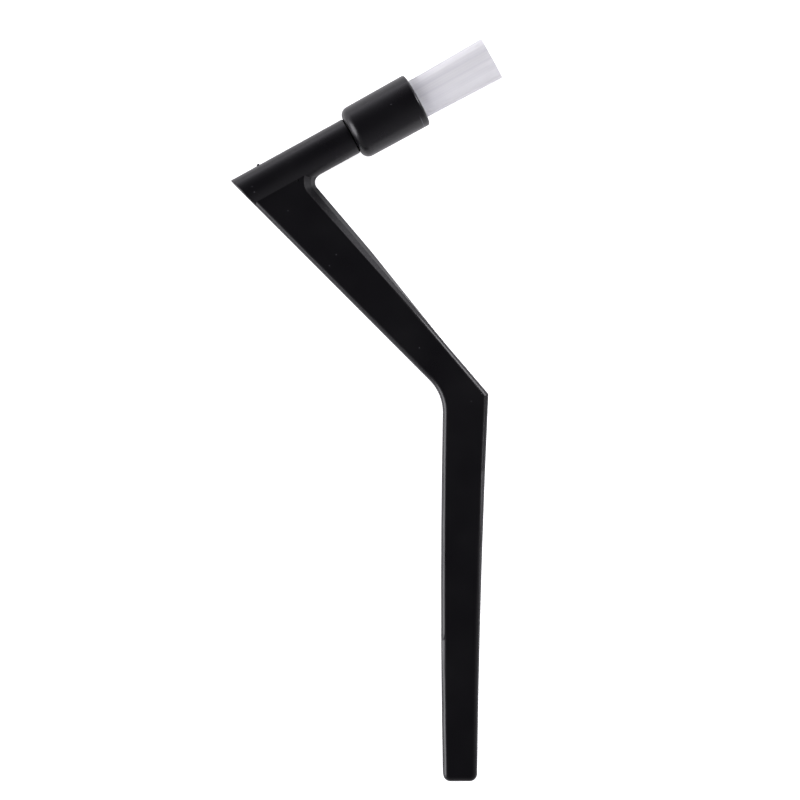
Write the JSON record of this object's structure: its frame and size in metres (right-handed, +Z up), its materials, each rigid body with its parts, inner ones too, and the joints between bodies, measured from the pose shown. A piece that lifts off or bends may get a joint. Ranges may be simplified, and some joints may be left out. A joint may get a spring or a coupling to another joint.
{
  "type": "angled coffee machine cleaning brush",
  "caption": "Z-shaped moulded handle with a flat grip, slanted strut, round stem and a pull-off round brush head with a dense bundle of bristles.",
  "frame": {"origin": "bottom centre of the box round the whole brush as it lies on its broad side", "axes": "+Z up, square to the handle's broad faces; +Y along the grip towards the brush end; +X towards the side that the head points to"},
  "size_m": [0.0802, 0.219, 0.0166],
  "materials": {
    "handle_plastic": "satin moulded ABS",
    "collar_plastic": "satin moulded ABS",
    "setting_resin": "cast epoxy",
    "bristle_nylon": "translucent white nylon filament"
  },
  "bodies": {
    "handle_body": {"handle": "handle_plastic"},
    "brush_head": {"brush_collar": "collar_plastic", "bristle_setting": "setting_resin", "bristle_bundle": "bristle_nylon"}
  },
  "joints": [
    {"name": "head_pull_off", "type": "slide", "parent": "handle_body", "child": "brush_head", "axis": [0.8755, 0.4833, 0], "range_m": [0, 0.03]}
  ]
}
